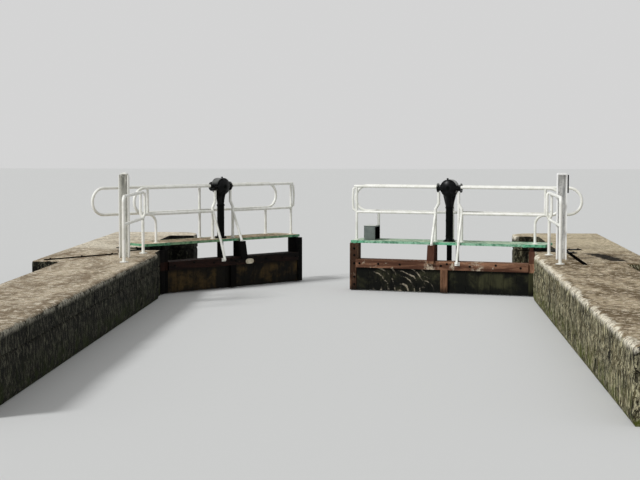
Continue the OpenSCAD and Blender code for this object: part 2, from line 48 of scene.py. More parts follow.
joints = {j["name"]: j for j in frame["joints"]}
sides = {"left": -1, "right": 1}
print("frame loaded:", len(nodes), "nodes")

# places that several pieces share: a leaf's are in its own frame, the lock's in the row frame
leaf = {
    "angle": {"left": 47.5, "right": 17.0},
    "railFace": 0.135,          # downstream face of the top rail
    "railBack": 0.11,
    "railTop": 0.462,
    "railUnder": 0.344,
    "deckTop": 0.735,
    "deckEnd": 2.8355,
    "gearX": 1.385,
    "gearY": 0.158,
}
lock = {
    "faceX": 2.6,
    "copingTop": 0.65,
    "copingUnder": 0.43,
    "gateY": 2.325,
}


def mirrored(side):
    # the right side is the mirror of the left
    return Matrix.Scale(-1, 4, (1, 0, 0)) if side == "right" else Matrix.Identity(4)


def leafFrame(side):
    # x from the pivot to the mitre, y upstream, z up
    pivot = Vector(joints[side + "_gate"]["pos_m"])
    turn = Matrix.Rotation(math.radians(leaf["angle"][side]), 4, "Z")
    return Matrix.Translation(pivot) @ mirrored(side) @ turn


def bankFrame(side):
    # x = 0 on the wall face, negative into the bank, y = 0 at the quoin edge
    return mirrored(side) @ Matrix.Translation((-lock["faceX"], lock["gateY"], 0))


def tint(r, g, b):
    # a colour as the eye reads it, 0 to 255, on the shader's own scale
    def one(v):
        v = v / 255
        return v / 12.92 if v <= 0.04045 else ((v + 0.055) / 1.055) ** 2.4
    return (one(r), one(g), one(b), 1.0)


def startFinish(name, rough, sheen=0.2, metal=0.0):
    mat = bpy.data.materials.new(name)
    mat.use_nodes = True
    tree = mat.node_tree
    shader = tree.nodes["Principled BSDF"]
    shader.inputs["Roughness"].default_value = rough
    shader.inputs["Metallic"].default_value = metal
    shader.inputs["Specular IOR Level"].default_value = sheen
    return mat, tree, shader


def endFinish(mat, tree, shader, colour, height, depth, strength=0.9):
    # wires the colour, and the relief of the given depth in metres
    tree.links.new(colour, shader.inputs["Base Color"])
    bump = tree.nodes.new("ShaderNodeBump")
    bump.inputs["Strength"].default_value = strength
    bump.inputs["Distance"].default_value = depth
    tree.links.new(height, bump.inputs["Height"])
    tree.links.new(bump.outputs["Normal"], shader.inputs["Normal"])
    return mat


def setOrWire(tree, socket, value):
    if isinstance(value, bpy.types.NodeSocket):
        tree.links.new(value, socket)
    else:
        socket.default_value = value


def placed(tree, stretch=(1, 1, 1), turn=0.0, pivot=(0, 0, 0)):
    # object coordinates, moved and turned, then stretched
    coord = tree.nodes.new("ShaderNodeTexCoord")
    first = tree.nodes.new("ShaderNodeMapping")
    first.vector_type = "TEXTURE"
    first.inputs["Location"].default_value = pivot
    first.inputs["Rotation"].default_value = (0, 0, turn)
    second = tree.nodes.new("ShaderNodeMapping")
    second.inputs["Scale"].default_value = stretch
    tree.links.new(coord.outputs["Object"], first.inputs["Vector"])
    tree.links.new(first.outputs["Vector"], second.inputs["Vector"])
    return second.outputs["Vector"]


def leafPlaced(tree, side, stretch=(1, 1, 1)):
    # the same in a leaf's own frame; on the right leaf y points downstream
    angle = leaf["angle"][side] if side == "left" else 180 - leaf["angle"][side]
    return placed(tree, stretch, math.radians(angle), Vector(joints[side + "_gate"]["pos_m"]))


def cloud(tree, vector, scale, detail=4.0, rough=0.55, warp=0.0):
    n = tree.nodes.new("ShaderNodeTexNoise")
    n.inputs["Scale"].default_value = scale
    n.inputs["Detail"].default_value = detail
    n.inputs["Roughness"].default_value = rough
    n.inputs["Distortion"].default_value = warp
    tree.links.new(vector, n.inputs["Vector"])
    return n.outputs["Fac"]


def between(tree, value, low, high, outLow=0.0, outHigh=1.0):
    m = tree.nodes.new("ShaderNodeMapRange")
    m.interpolation_type = "SMOOTHSTEP"
    tree.links.new(value, m.inputs["Value"])
    m.inputs["From Min"].default_value = low
    m.inputs["From Max"].default_value = high
    m.inputs["To Min"].default_value = outLow
    m.inputs["To Max"].default_value = outHigh
    return m.outputs["Result"]


def spots(tree, vector, mark, outLow=0.0, outHigh=1.0):
    # mark: the noise's scale, detail and roughness, where the spot starts and where it is full, and any warp
    scale, detail, rough, low, high, *warp = mark
    return between(tree, cloud(tree, vector, scale, detail, rough, *warp), low, high, outLow, outHigh)


def sums(tree, kind, a, b=0.0):
    m = tree.nodes.new("ShaderNodeMath")
    m.operation = kind
    setOrWire(tree, m.inputs[0], a)
    setOrWire(tree, m.inputs[1], b)
    return m.outputs["Value"]


def times(tree, a, b):
    return sums(tree, "MULTIPLY", a, b)


def distance(tree, value, centre):
    return sums(tree, "ABSOLUTE", sums(tree, "SUBTRACT", value, centre))


def window(tree, value, low, high, soft):
    # 1 between low and high, with soft ends
    rise = between(tree, value, low, low + soft)
    return times(tree, rise, between(tree, value, high - soft, high, 1.0, 0.0))


def laid(tree, under, over, mask, share=None):
    # the colour over laid on the colour under, where the mask is 1
    m = tree.nodes.new("ShaderNodeMix")
    m.data_type = "RGBA"
    setOrWire(tree, m.inputs[0], mask if share is None else times(tree, mask, share))
    setOrWire(tree, m.inputs[6], under)
    setOrWire(tree, m.inputs[7], over)
    return m.outputs[2]


def axisOf(tree, vector, axis):
    s = tree.nodes.new("ShaderNodeSeparateXYZ")
    tree.links.new(vector, s.inputs[0])
    return s.outputs[axis]


def acrossLeaf(tree, side, vector):
    # distance upstream from the line through the pivot, on either leaf
    return times(tree, axisOf(tree, vector, "Y"), -sides[side])


def upwards(tree):
    # 1 on faces that look up, 0 on upright ones
    g = tree.nodes.new("ShaderNodeNewGeometry")
    return between(tree, axisOf(tree, g.outputs["Normal"], "Z"), 0.35, 0.75)


stoneLook = {
    # painted shade: the left wall's upright faces are coloured far darker than the right wall's, as that wall
    # stands in shade
    "left": {
        "ground": tint(34, 34, 26), "deep": tint(7, 7, 6), "speck": tint(100, 99, 84), "patch": 0.15,
        "weed": tint(42, 52, 16), "top": tint(204, 190, 166), "topDark": tint(134, 118, 96),
        "topPale": tint(236, 228, 208), "far": tint(236, 228, 208),
        "rim": tint(186, 182, 166), "rimWidth": 0.03,
    },
    "right": {
        "ground": tint(102, 94, 66), "deep": tint(18, 16, 10), "speck": tint(208, 201, 166), "patch": 0.55,
        "weed": tint(84, 92, 34), "top": tint(192, 176, 148), "topDark": tint(104, 88, 64),
        "topPale": tint(232, 220, 196), "far": tint(214, 201, 172),
        "rim": tint(236, 229, 210), "rimWidth": 0.12,
    },
    "farFrom": (2.2, 3.6),      # the tops beyond the gate are cleaner
    "dampFrom": (3.0, 3.3),     # and the upright faces there are darkened with painted shade
    "jointY": 5.5,              # joint between the nose's stones
    # painted shade on the right bank's top, a dark slanting band
    "hollow": {"x": 3.42, "slope": 0.174, "half": 0.13, "from": 1.15, "to": 2.5},
    "marks": {
        "blotch": (3.0, 8, 0.74, 0.4, 0.6), "speck": (22, 9, 0.8, 0.5, 0.55),
        "patch": (4.2, 9, 0.82, 0.53, 0.6, 0.4), "pit": (31, 8, 0.78, 0.5, 0.55),
        "run": (7, 7, 0.7, 0.5, 0.62), "weed": (5, 8, 0.78, 0.47, 0.56), "damp": (6, 7, 0.75, 0.36, 0.56),
        "wear": (3.2, 9, 0.74, 0.42, 0.58), "pale": (11, 8, 0.78, 0.51, 0.6),
        "far": (2.1, 6, 0.55, 0.35, 0.55), "stain": (19, 8, 0.78, 0.51, 0.58),
        "waver": (7, 6, 0.7, 0.3, 0.7), "grit": (60, 5, 0.78, 0.53, 0.6),
        "rimWidth": (1.7, 8, 0.8, 0.36, 0.66), "rimGap": (21, 8, 0.8, 0.42, 0.54),
    },
}


def stoneFinish(side):
    look = stoneLook[side]
    marks = stoneLook["marks"]
    mat, tree, shader = startFinish(side + "Stone", 0.9, 0.1)
    plain = placed(tree)
    upright = placed(tree, (1, 1, 0.5))
    streaky = placed(tree, (1, 1, 0.09))
    along = placed(tree, (1, 0.3, 1))
    x = axisOf(tree, plain, "X")
    y = axisOf(tree, plain, "Y")
    z = axisOf(tree, plain, "Z")
    # upright faces: blotches, pale specks and patches, pits, stains that run down, weed near the water, and
    # painted shade beyond the gate
    face = laid(tree, look["deep"], look["ground"], spots(tree, plain, marks["blotch"]))
    face = laid(tree, face, look["speck"], spots(tree, upright, marks["speck"]), 0.85)
    face = laid(tree, face, look["speck"], spots(tree, plain, marks["patch"]), look["patch"])
    face = laid(tree, face, look["deep"], spots(tree, upright, marks["pit"]), 0.85)
    face = laid(tree, face, look["deep"], spots(tree, streaky, marks["run"]), 0.6)
    weed = times(tree, between(tree, z, 0.02, 0.36, 1.0, 0.0), spots(tree, plain, marks["weed"]))
    face = laid(tree, face, look["weed"], weed, 0.75)
    # painted shade on the upright faces of the recess and the nose beyond the gate
    damp = times(tree, between(tree, y, *stoneLook["dampFrom"]), spots(tree, plain, marks["damp"], 0.95, 0.6))
    face = laid(tree, face, stoneLook["left"]["deep"], damp)
    # top faces: broad wear along the wall, pale patches, dark stains, the joint and grit
    top = laid(tree, look["topDark"], look["top"], spots(tree, along, marks["wear"]))
    top = laid(tree, top, look["topPale"], spots(tree, plain, marks["pale"]))
    far = times(tree, between(tree, y, *stoneLook["farFrom"]), spots(tree, plain, marks["far"], 0.3, 0.9))
    top = laid(tree, top, look["far"], far)
    top = laid(tree, top, look["topDark"], spots(tree, plain, marks["stain"]), 0.8)
    joint = between(tree, distance(tree, y, stoneLook["jointY"]), 0.014, 0.024, 1.0, 0.0)
    top = laid(tree, top, look["deep"], joint)
    # painted shade: a dark slanting band on the right bank's top faces
    if side == "right":
        hollow = stoneLook["hollow"]
        line = sums(tree, "ADD", x, times(tree, y, hollow["slope"]))
        off = sums(tree, "SUBTRACT", line, hollow["x"] + hollow["slope"] * hollow["to"])
        off = sums(tree, "ADD", off, spots(tree, plain, marks["waver"], -0.05, 0.05))
        sunk = between(tree, sums(tree, "ABSOLUTE", off), hollow["half"] - 0.02, hollow["half"], 1.0, 0.0)
        sunk = times(tree, sunk, window(tree, y, hollow["from"], hollow["to"], 0.1))
        top = laid(tree, top, look["deep"], sunk)
    top = laid(tree, top, look["topDark"], spots(tree, plain, marks["grit"]), 0.7)
    colour = laid(tree, face, top, times(tree, upwards(tree), between(tree, z, 0.5, 0.58)))
    # pale rim worn along the chamber's edge, wide and narrow by turns
    off = sums(tree, "SUBTRACT", sums(tree, "ABSOLUTE", x), lock["faceX"])
    width = times(tree, spots(tree, plain, marks["rimWidth"], 0.1, 1.0), look["rimWidth"])
    rim = between(tree, sums(tree, "DIVIDE", off, width), 0.6, 1.0, 1.0, 0.0)
    rim = times(tree, rim, between(tree, z, 0.56, 0.63))
    rim = times(tree, rim, spots(tree, plain, marks["rimGap"]))
    colour = laid(tree, colour, look["rim"], rim)
    height = sums(tree, "ADD", cloud(tree, plain, 24, 8, 0.75), cloud(tree, plain, 80, 5, 0.7))
    return endFinish(mat, tree, shader, colour, height, 0.014)


timberLook = {
    # painted shade: the left leaf's rail and posts are coloured far darker than the right leaf's, as that
    # side stands in shade
    "left": {
        "red": tint(44, 25, 19), "redDark": tint(8, 6, 5),
        "plank": tint(70, 55, 29), "plankDark": tint(9, 8, 5),
        "post": tint(9, 8, 7), "postDark": tint(3, 3, 3),
        "prop": tint(10, 9, 8), "pale": tint(104, 86, 60),
        "scar": 0.35,           # how bare the rail's scars are
        "rub": (),              # places rubbed pale along the rail
        "heelLow": "post",      # what the heel post looks like below the rail
        "soot": (1.0, 1.46),    # painted shadow of the gear on the planking below it
        # sweeps of curved scrapes on the planking: centre, start and end along the leaf, how close they lie
        "scrapes": (),
    },
    "right": {
        "red": tint(146, 108, 84), "redDark": tint(72, 46, 34),
        "plank": tint(54, 54, 36), "plankDark": tint(8, 9, 6),
        "post": tint(148, 112, 86), "postDark": tint(56, 38, 28),
        "prop": tint(62, 34, 28), "pale": tint(198, 186, 164),
        "scar": 0.6,
        "rub": ((0.78, 1.0), (1.2, 1.32), (1.5, 1.7)),
        "heelLow": "plank",
        "soot": (0.96, 1.27),
        "scrapes": ((2.56, 2.02, 2.5, 3.1), (2.1, 1.64, 2.14, 3.7), (1.75, 1.5, 1.76, 4.4)),
    },
    # black for the upright that stands in the gear's painted shadow
    "iron": tint(6, 7, 7),
    "ironTo": 1.285,            # the upright on the bank's side of the gear is painted black: painted shadow of the gear
    "marks": {
        "grain": (7, 8, 0.66, 0.38, 0.6, 0.5), "check": (38, 6, 0.74, 0.5, 0.6),
        "bare": (13, 7, 0.76, 0.6, 0.66), "rub": (17, 8, 0.8, 0.48, 0.56),
        "blotch": (3.0, 7, 0.7, 0.38, 0.62, 0.4), "board": (14, 7, 0.72, 0.48, 0.62),
        "waver": (7, 5, 0.7, 0.2, 0.8), "scrapeGap": (6, 7, 0.75, 0.46, 0.56),
    },
}


def timberColour(tree, look, kind, long, plain, scar):
    # long grain with dark checks, and scars of bare pale wood
    marks = timberLook["marks"]
    dark = look[kind + "Dark"]
    colour = laid(tree, dark, look[kind], spots(tree, long, marks["grain"]))
    colour = laid(tree, colour, dark, spots(tree, long, marks["check"]), 0.7)
    return laid(tree, colour, look["pale"], spots(tree, plain, marks["bare"]), scar)


def railFinish(side):
    # long grain along the leaf, rubbed pale near the gear on the right leaf
    look = timberLook[side]
    mat, tree, shader = startFinish(side + "RailTimber", 0.7, 0.1)
    long = leafPlaced(tree, side, (0.1, 1, 1))
    plain = leafPlaced(tree, side)
    s = axisOf(tree, plain, "X")
    colour = timberColour(tree, look, "red", long, plain, look["scar"])
    for low, high in look["rub"]:
        rub = times(tree, window(tree, s, low, high, 0.06), spots(tree, plain, timberLook["marks"]["rub"]))
        colour = laid(tree, colour, look["pale"], rub, 0.7)
    height = sums(tree, "ADD", cloud(tree, long, 30, 6, 0.7), cloud(tree, long, 95, 3, 0.6))
    return endFinish(mat, tree, shader, colour, height, 0.005)


def postFinish(side, part):
    # upright timbers: the heel post takes the colours of what it stands beside
    look = timberLook[side]
    mat, tree, shader = startFinish(side + part.title().replace("_", "") + "Timber", 0.7, 0.06)
    long = leafPlaced(tree, side, (1, 1, 0.1))
    plain = leafPlaced(tree, side)
    z = axisOf(tree, plain, "Z")
    colour = timberColour(tree, look, "post", long, plain, 0.2)
    if part == "heel_post":
        band = timberColour(tree, look, "red", long, plain, 0.3)
        colour = laid(tree, colour, band, window(tree, z, 0.335, 0.47, 0.015))
        low = timberColour(tree, look, look["heelLow"], long, plain, 0.0)
        colour = laid(tree, colour, low, between(tree, z, 0.33, 0.345, 1.0, 0.0))
    if part == "uprights":
        colour = laid(tree, colour, look["redDark"], 0.4)
    if part != "mitre_post":    # darker above the rail
        above = between(tree, z, leaf["railTop"], leaf["railTop"] + 0.01)
        colour = laid(tree, colour, look["prop"], above, 0.8)
    # painted shadow of the gear: the upright on its bank's side is painted black
    if part == "uprights":
        s = axisOf(tree, plain, "X")
        iron = between(tree, s, timberLook["ironTo"], timberLook["ironTo"] + 0.01, 1.0, 0.0)
        colour = laid(tree, colour, timberLook["iron"], iron)
    colour = laid(tree, colour, look["plankDark"], between(tree, z, 0.02, 0.14, 0.8, 0.0))
    return endFinish(mat, tree, shader, colour, cloud(tree, long, 34, 6, 0.72), 0.005)


def scrapeRings(tree, plain, centre, tight):
    # rings round a point of the leaf, of which the scrapes are pieces
    wave = tree.nodes.new("ShaderNodeTexWave")
    wave.wave_type = "RINGS"
    wave.rings_direction = "SPHERICAL"
    wave.inputs["Scale"].default_value = tight
    wave.inputs["Distortion"].default_value = 5.0
    wave.inputs["Detail"].default_value = 3.0
    wave.inputs["Detail Scale"].default_value = 1.3
    middle = tree.nodes.new("ShaderNodeMapping")
    middle.inputs["Location"].default_value = (-centre, 0, 0.06)
    tree.links.new(plain, middle.inputs["Vector"])
    tree.links.new(middle.outputs["Vector"], wave.inputs["Vector"])
    return wave.outputs["Fac"]


def plankFinish(side):
    # wet planking, dark at the water, with painted shadow of the gear below it and painted shade from just
    # under the rail upwards
    look = timberLook[side]
    marks = timberLook["marks"]
    mat, tree, shader = startFinish(side + "Planking", 0.55, 0.1)
    long = leafPlaced(tree, side, (1, 1, 0.12))
    plain = leafPlaced(tree, side)
    s = axisOf(tree, plain, "X")
    z = axisOf(tree, plain, "Z")
    dark = look["plankDark"]
    colour = laid(tree, dark, look["plank"], spots(tree, plain, marks["blotch"]))
    colour = laid(tree, colour, dark, spots(tree, long, marks["board"], 0.0, 0.5))
    damp = between(tree, sums(tree, "ADD", z, cloud(tree, plain, 4, 5, 0.7)), 0.5, 0.72, 0.95, 0.0)
    colour = laid(tree, colour, dark, damp)
    # painted shadow of the gear on the planking below it
    wander = sums(tree, "ADD", s, spots(tree, plain, marks["waver"], -0.06, 0.06))
    colour = laid(tree, colour, dark, window(tree, wander, *look["soot"], 0.1), 0.9)
    # painted shade from just under the rail upwards
    colour = laid(tree, colour, dark, between(tree, z, 0.27, 0.34, 0.0, 0.75))
    for centre, start, end, tight in look["scrapes"]:
        line = between(tree, scrapeRings(tree, plain, centre, tight), 0.8, 0.99)
        line = times(tree, line, window(tree, s, start, end, 0.14))
        line = times(tree, line, spots(tree, plain, marks["scrapeGap"]))
        colour = laid(tree, colour, look["pale"], line, 0.5)
    return endFinish(mat, tree, shader, colour, cloud(tree, long, 34, 6, 0.7), 0.006)


caseLook = {
    "paint": tint(5, 6, 7), "worn": tint(18, 19, 20), "bare": tint(176, 178, 174),
    "rub": {"left": 0.25, "right": 0.75},       # how much of the upper rim takes the painted reflection
    "marks": {"worn": (14, 6, 0.7, 0.44, 0.62), "bare": (11, 6, 0.72, 0.36, 0.5)},
}


def caseFinish(side):
    # black paint, with a painted reflection in grey on the upper rim between the two covers
    mat, tree, shader = startFinish(side + "CaseIron", 0.32, 0.14)
    plain = leafPlaced(tree, side)
    body = laid(tree, caseLook["paint"], caseLook["worn"], spots(tree, plain, caseLook["marks"]["worn"]))
    # painted reflection: grey on the upper rim of the case
    fromMiddle = distance(tree, acrossLeaf(tree, side, plain), leaf["gearY"])
    rim = between(tree, fromMiddle, 0.058, 0.07, 1.0, 0.0)
    rim = times(tree, rim, between(tree, axisOf(tree, plain, "Z"), 1.53, 1.6))
    rim = times(tree, rim, spots(tree, plain, caseLook["marks"]["bare"]))
    body = laid(tree, body, caseLook["bare"], rim, caseLook["rub"][side])
    return endFinish(mat, tree, shader, body, cloud(tree, plain, 90, 3), 0.0008, 0.6)


def paintFinish(name, colour, worn, under, rough, dirt, scale, sheen, crown=None):
    # paint over metal, with dull patches, streaks of dirt, chips down to the metal, and, where a lit top is
    # given, a painted highlight on the top faces
    mat, tree, shader = startFinish(name, rough, sheen)
    plain = placed(tree)
    down = placed(tree, (1, 1, 0.25))
    body = laid(tree, colour, worn, spots(tree, plain, (scale, 6, 0.68, 0.42, 0.62), 0.0, dirt))
    body = laid(tree, body, worn, spots(tree, down, (scale * 3, 5, 0.7, 0.52, 0.64), 0.0, dirt * 0.7))
    body = laid(tree, body, under, spots(tree, plain, (scale * 4, 5, 0.75, 0.66, 0.7)))
    # painted highlight on the top faces
    if crown:
        body = laid(tree, body, crown, upwards(tree))
    rub = spots(tree, plain, (scale * 2, 4, 0.55, 0.3, 0.7), rough - 0.08, rough + 0.14)
    tree.links.new(rub, shader.inputs["Roughness"])
    return endFinish(mat, tree, shader, body, cloud(tree, plain, scale * 9, 3), 0.0008, 0.6)


deckLook = {
    "left": {"edge": tint(112, 168, 132), "edgeDark": tint(52, 96, 70), "long": tint(128, 160, 124),
             "top": tint(214, 194, 166), "topDark": tint(150, 134, 108)},
    "right": {"edge": tint(110, 180, 144), "edgeDark": tint(44, 104, 76), "long": tint(142, 186, 158),
              "top": tint(196, 212, 188), "topDark": tint(136, 168, 142)},
    "plates": {"heel": 0.24, "end": 2.63, "seat": 0.13},     # where the deck is solid, along the leaf
    "frontEdge": -0.045, "backEdge": 0.48, "skin": 0.007,
    "marks": {
        "edge": (15, 7, 0.74, 0.46, 0.58), "worn": (9, 8, 0.76, 0.45, 0.58),
        "bars": (38, 5, 0.75, 0.57, 0.64),
    },
}


def deckFinish(side):
    # green edges and plates, and a worn grating between them
    look = deckLook[side]
    plates = deckLook["plates"]
    marks = deckLook["marks"]
    mat, tree, shader = startFinish(side + "Deck", 0.55, 0.2)
    plain = leafPlaced(tree, side)
    s = axisOf(tree, plain, "X")
    across = acrossLeaf(tree, side, plain)
    solid = between(tree, s, plates["heel"], plates["heel"] + 0.02, 1.0, 0.0)
    solid = sums(tree, "MAXIMUM", solid, between(tree, s, plates["end"] - 0.02, plates["end"]))
    seat = between(tree, distance(tree, s, leaf["gearX"]), plates["seat"], plates["seat"] + 0.02, 1.0, 0.0)
    solid = sums(tree, "MAXIMUM", solid, seat)
    edge = laid(tree, look["long"], look["edge"], solid)
    edge = laid(tree, edge, look["edgeDark"], spots(tree, plain, marks["edge"], 0.0, 0.8))
    top = laid(tree, look["top"], look["topDark"], spots(tree, plain, marks["worn"]))
    top = laid(tree, top, look["edgeDark"], spots(tree, plain, marks["bars"]))
    skin = deckLook["skin"]
    front = deckLook["frontEdge"] + skin
    back = deckLook["backEdge"] - skin
    rim = between(tree, across, front, front + skin, 1.0, 0.0)
    rim = sums(tree, "MAXIMUM", rim, between(tree, across, back - skin, back))
    upright = sums(tree, "SUBTRACT", 1.0, upwards(tree))
    rim = sums(tree, "MAXIMUM", rim, times(tree, upright, solid))
    colour = laid(tree, top, edge, rim)
    return endFinish(mat, tree, shader, colour, cloud(tree, plain, 70, 4), 0.0015, 0.7)


postLook = {
    "left": {"centre": 2.93, "dull": tint(150, 151, 146), "bright": tint(242, 242, 236)},
    "right": {"centre": 2.892, "dull": tint(142, 145, 147), "bright": tint(250, 250, 248)},
    "web": (0.04, 0.048),       # half width of the web, left dull, between the flanges that take the painted highlight
    "head": (1.755, 1.765),     # the painted highlight on the head starts here
    "strapFrom": 2.9575,        # the right post's outer side, painted dark as shade with a black plate on it, starts here
    # painted shade of the right post's outer side, together with the black plate on it
    "strap": tint(12, 12, 13),
    "marks": {"worn": (9, 7, 0.7, 0.36, 0.6), "speck": (55, 3, 0.6, 0.56, 0.64)},
}


def postSteelFinish(side):
    # weathered zinc, with painted highlight on the tall post's flanges and head, the web between them left
    # dull
    look = postLook[side]
    marks = postLook["marks"]
    mat, tree, shader = startFinish(side + "PostSteel", 0.55, 0.3, 0.05)
    plain = placed(tree)
    down = placed(tree, (1, 1, 0.12))
    colour = laid(tree, look["dull"], look["bright"], spots(tree, down, marks["worn"]))
    colour = laid(tree, colour, look["dull"], spots(tree, plain, marks["speck"], 0.0, 0.5))
    place = sums(tree, "ABSOLUTE", axisOf(tree, plain, "X"))
    # painted highlight on the flanges and the head
    flange = between(tree, distance(tree, place, look["centre"]), *postLook["web"])
    bare = sums(tree, "MAXIMUM", flange, between(tree, axisOf(tree, plain, "Z"), *postLook["head"]))
    colour = laid(tree, colour, look["bright"], bare, 0.85)
    # painted shade on the right post's outer side, which also holds a black plate
    if side == "right":
        outer = sums(tree, "GREATER_THAN", place, postLook["strapFrom"])
        colour = laid(tree, colour, postLook["strap"], outer)
    return endFinish(mat, tree, shader, colour, cloud(tree, plain, 60, 3), 0.0012, 0.5)


paints = {
    "iron": {
        "name": "blackIron", "colour": tint(3, 5, 4), "worn": tint(11, 13, 12), "under": tint(38, 32, 27),
        "rough": 0.4, "dirt": 0.6, "scale": 9.0, "sheen": 0.06,
    },
    "strap": {
        "name": "strapIron", "colour": tint(6, 6, 6), "worn": tint(16, 14, 12), "under": tint(44, 34, 26),
        "rough": 0.9, "dirt": 0.5, "scale": 9.0, "sheen": 0.0,
    },
    "rod": {
        "name": "rodIron", "colour": tint(4, 5, 5), "worn": tint(16, 16, 16), "under": tint(44, 34, 28),
        "rough": 0.4, "dirt": 0.5, "scale": 9.0, "sheen": 0.08,
    },
    "white": {
        "name": "whiteTube", "colour": tint(240, 240, 234), "worn": tint(206, 207, 194),
        "under": tint(150, 128, 104), "rough": 0.36, "dirt": 0.45, "scale": 7.0, "sheen": 0.4,
    },
    # the box's top takes a painted highlight
    "box": {
        "name": "greyBox", "colour": tint(108, 117, 112), "worn": tint(84, 92, 92), "under": tint(60, 62, 60),
        "rough": 0.45, "dirt": 0.5, "scale": 10.0, "sheen": 0.3, "crown": tint(204, 208, 200),
    },
    # painted shade: black for the louvred panel on the box's shaded side
    "boxDark": {
        "name": "blackVent", "colour": tint(3, 4, 5), "worn": tint(9, 10, 11), "under": tint(24, 24, 24),
        "rough": 0.9, "dirt": 0.5, "scale": 14.0, "sheen": 0.0,
    },
    "plate": {
        "name": "ovalPlate", "colour": tint(212, 205, 186), "worn": tint(168, 158, 134),
        "under": tint(110, 92, 70), "rough": 0.5, "dirt": 0.6, "scale": 16.0, "sheen": 0.3,
    },
    "shaft": {
        "name": "shaftSteel", "colour": tint(74, 74, 78), "worn": tint(46, 44, 44), "under": tint(96, 66, 48),
        "rough": 0.34, "dirt": 0.6, "scale": 18.0, "sheen": 0.4,
    },
}
finishes = {key: paintFinish(**look) for key, look in paints.items()}
for side in sides:
    finishes[side + "Stone"] = stoneFinish(side)
    finishes[side + "Rail"] = railFinish(side)
    for part in ("heel_post", "mitre_post", "uprights"):
        finishes[side + part] = postFinish(side, part)
    finishes[side + "Planking"] = plankFinish(side)
    finishes[side + "Deck"] = deckFinish(side)
    finishes[side + "Case"] = caseFinish(side)
    finishes[side + "PostSteel"] = postSteelFinish(side)
print("finishes made:", len(finishes))

wears = {
    "guard_rail": "white", "front_rail_land": "white", "front_rail_free": "white", "back_rail": "white",
    "tall_post": "PostSteel", "collar": "iron", "gear_column": "iron", "gear_case": "Case",
    "paddle_rod": "rod", "winding_shaft": "shaft", "plate": "plate", "control_box": "box",
    "heel_post": "heel_post", "mitre_post": "mitre_post", "uprights": "uprights",
    "top_rail": "Rail", "planking": "Planking", "deck_frame": "Deck", "deck_grating": "Deck",
    "chamber_wall": "Stone", "head_wall": "Stone", "chamber_coping": "Stone", "head_coping": "Stone",
}


def dress(obj, finish):
    obj.data.materials.clear()
    obj.data.materials.append(finish)


for name, obj in nodes.items():
    side, part = name.split("_", 1)
    key = wears[part]
    dress(obj, finishes[side + key] if side + key in finishes else finishes[key])


def newPiece(name, bm, body, finish, smooth=35):
    # smooth: faces that meet at less than this angle are shaded as one
    bmesh.ops.recalc_face_normals(bm, faces=bm.faces)
    mesh = bpy.data.meshes.new(name)
    bm.to_mesh(mesh)
    bm.free()
    obj = bpy.data.objects.new(name, mesh)
    bpy.context.scene.collection.objects.link(obj)
    if smooth:
        mesh.shade_smooth()
        mesh.set_sharp_from_angle(angle=math.radians(smooth))
    dress(obj, finish)
    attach(obj, body)
    return obj


def addBox(bm, low, high, place=Matrix.Identity(4), bevel=0.0):
    size = Vector(high) - Vector(low)
    middle = (Vector(high) + Vector(low)) / 2
    whole = place @ Matrix.Translation(middle) @ Matrix.Diagonal((*size, 1))
    made = bmesh.ops.create_cube(bm, size=1.0, matrix=whole)
    if bevel:
        edges = dict.fromkeys(e for v in made["verts"] for e in v.link_edges)
        bmesh.ops.bevel(bm, geom=list(edges), offset=bevel, segments=2, affect="EDGES")


def turned(axis):
    # turns z to the axis
    return Vector((0, 0, 1)).rotation_difference(Vector(axis)).to_matrix().to_4x4()


def addRound(bm, centre, axis, radius, height, place=Matrix.Identity(4), corners=24, topRadius=None):
    shift = Matrix.Translation(Vector(centre) + Vector(axis).normalized() * height / 2)
    top = radius if topRadius is None else topRadius
    bmesh.ops.create_cone(bm, cap_ends=True, segments=corners, radius1=radius, radius2=top, depth=height,
                          matrix=place @ shift @ turned(axis))


def addRing(bm, centre, axis, inner, outer, height, place=Matrix.Identity(4), corners=32):
    # flat ring with softened outer edges
    whole = place @ Matrix.Translation(centre) @ turned(axis)
    soft = height * 0.2
    loop = [(inner, 0), (outer, 0), (outer, height - soft), (outer - soft, height), (inner, height)]
    rings = []
    for i in range(corners):
        a = math.tau * i / corners
        rings.append([bm.verts.new(whole @ Vector((r * math.cos(a), r * math.sin(a), h))) for r, h in loop])
    for i in range(corners):
        a, b = rings[i], rings[(i + 1) % corners]
        for k in range(len(loop)):
            j = (k + 1) % len(loop)
            bm.faces.new((a[k], a[j], b[j], b[k]))


def addBolt(bm, centre, axis, radius, place=Matrix.Identity(4)):
    # washer, hexagon head and the rounded end of the bolt
    axis = Vector(axis).normalized()
    c = Vector(centre)
    addRound(bm, c, axis, radius * 1.5, radius * 0.25, place, 20)
    addRound(bm, c + axis * radius * 0.2, axis, radius, radius * 0.75, place, 6)
    addRound(bm, c + axis * radius * 0.9, axis, radius * 0.55, radius * 0.35, place, 12, radius * 0.35)


def addBolts(bm, centre, axis, ring, turns, radius, place):
    # bolts on a ring round the x, y or z axis, at the given turns in degrees
    u = (0, 1, 0) if axis[0] else (1, 0, 0)
    v = (0, 1, 0) if axis[2] else (0, 0, 1)
    for turn in turns:
        a = math.radians(turn)
        spot = [c + ring * (p * math.cos(a) + q * math.sin(a)) for c, p, q in zip(centre, u, v)]
        addBolt(bm, spot, axis, radius, place)


stone = {
    "wallGrid": 0.036, "copingGrid": 0.024,
    "wallRough": 0.009, "copingRough": 0.004,
    "notch": {"left": 0.018, "right": 0.04},    # how far wear eats into the chamber's edge
    "slabs": 5, "slabGap": 0.008, "slabDeep": 1.05, "slabStep": 0.04,
    "frontRadius": 0.045, "endInset": 0.006,    # worn front edge and ends of a slab
}
stoneParts = {      # grid, roughness and slot
    "head_coping": ("copingGrid", "copingRough", "coping"),
    "head_wall": ("wallGrid", "wallRough", "masonry"),
    "chamber_wall": ("wallGrid", "wallRough", "masonry"),
}


